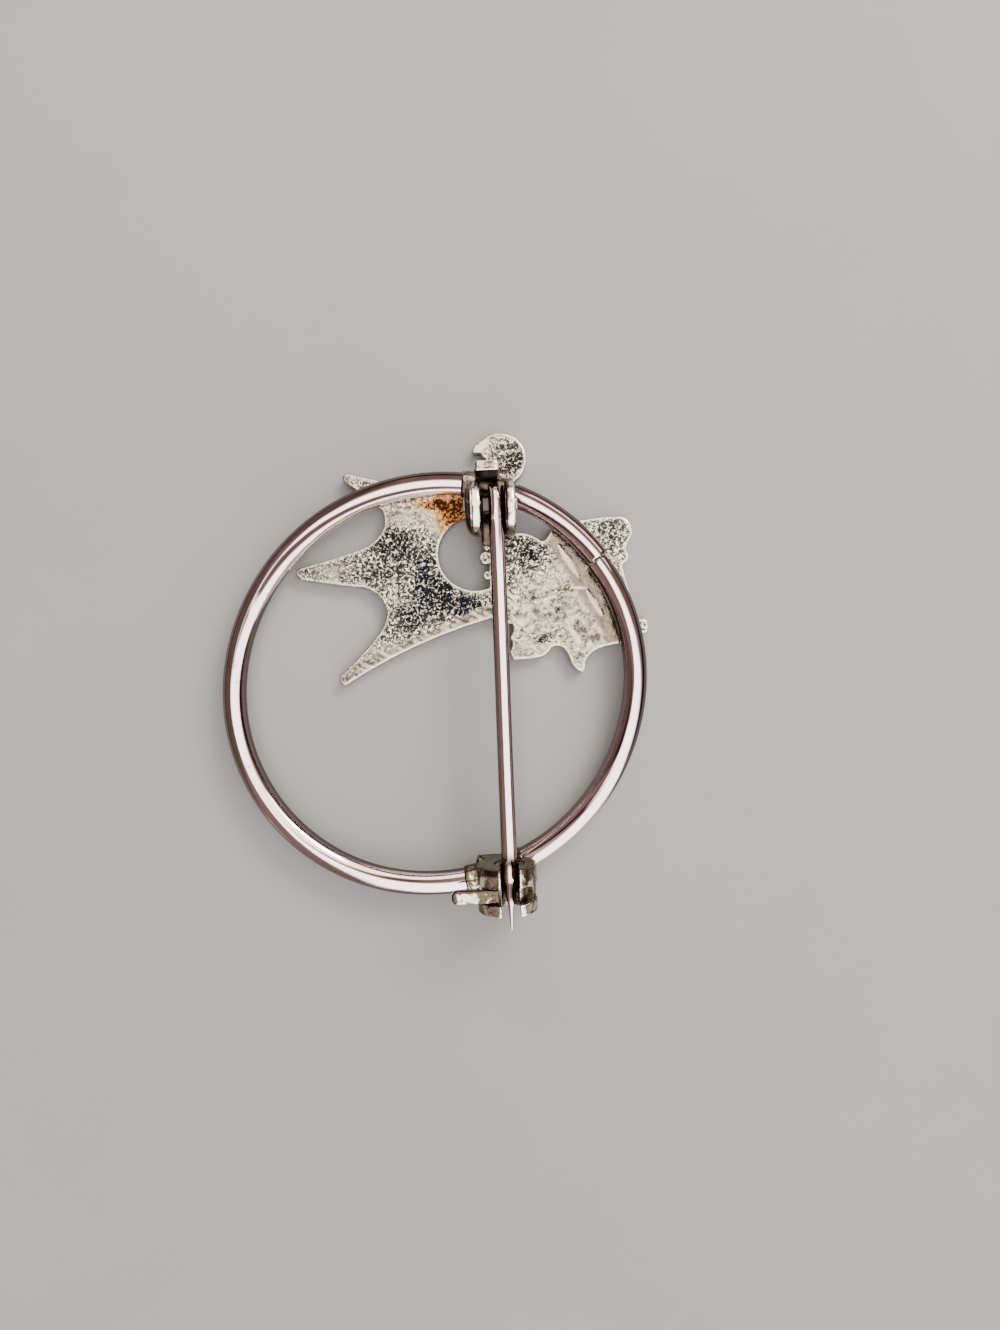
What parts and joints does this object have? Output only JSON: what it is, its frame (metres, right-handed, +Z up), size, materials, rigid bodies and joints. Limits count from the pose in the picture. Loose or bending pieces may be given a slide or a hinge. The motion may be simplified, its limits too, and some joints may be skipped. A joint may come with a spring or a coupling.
{
  "type": "brooch",
  "caption": "Circle brooch lying face down: round wire ring on a cut-out figure plate, hinged straight pin with a pointed end, and a safety catch with a turning roller and lever",
  "frame": {"origin": "middle of the brooch's bounding box, on the flat surface that the plate's front lies on", "axes": "+Z up out of the brooch's back, which faces up; +X to the right and +Y to the hinge and disc, as seen from above"},
  "size_m": [0.0388, 0.0446, 0.0071],
  "materials": {
    "frame_metal": "polished nickel-coloured wire on a satin plate, with tarnish and a rust-brown stain",
    "rivet_metal": "worn nickel-coloured metal",
    "pin_metal": "polished nickel-coloured wire",
    "roller_metal": "worn nickel-coloured metal with brown patina"
  },
  "bodies": {
    "frame": {"brooch_frame": "frame_metal", "hinge_rivet": "rivet_metal"},
    "pin": {"pin_stem": "pin_metal"},
    "roller": {"catch_roller": "roller_metal"}
  },
  "joints": [
    {"name": "pin_swing", "type": "hinge", "parent": "frame", "child": "pin", "pos_m": [0.00538, 0.0149, 0.0046], "axis": [-0.9993, -0.0375, 0], "range_deg": [0, 120]},
    {"name": "catch_turn", "type": "hinge", "parent": "frame", "child": "roller", "pos_m": [0.00662, -0.01827, 0.0046], "axis": [-0.0375, 0.9993, 0], "range_deg": [0, 100]}
  ]
}
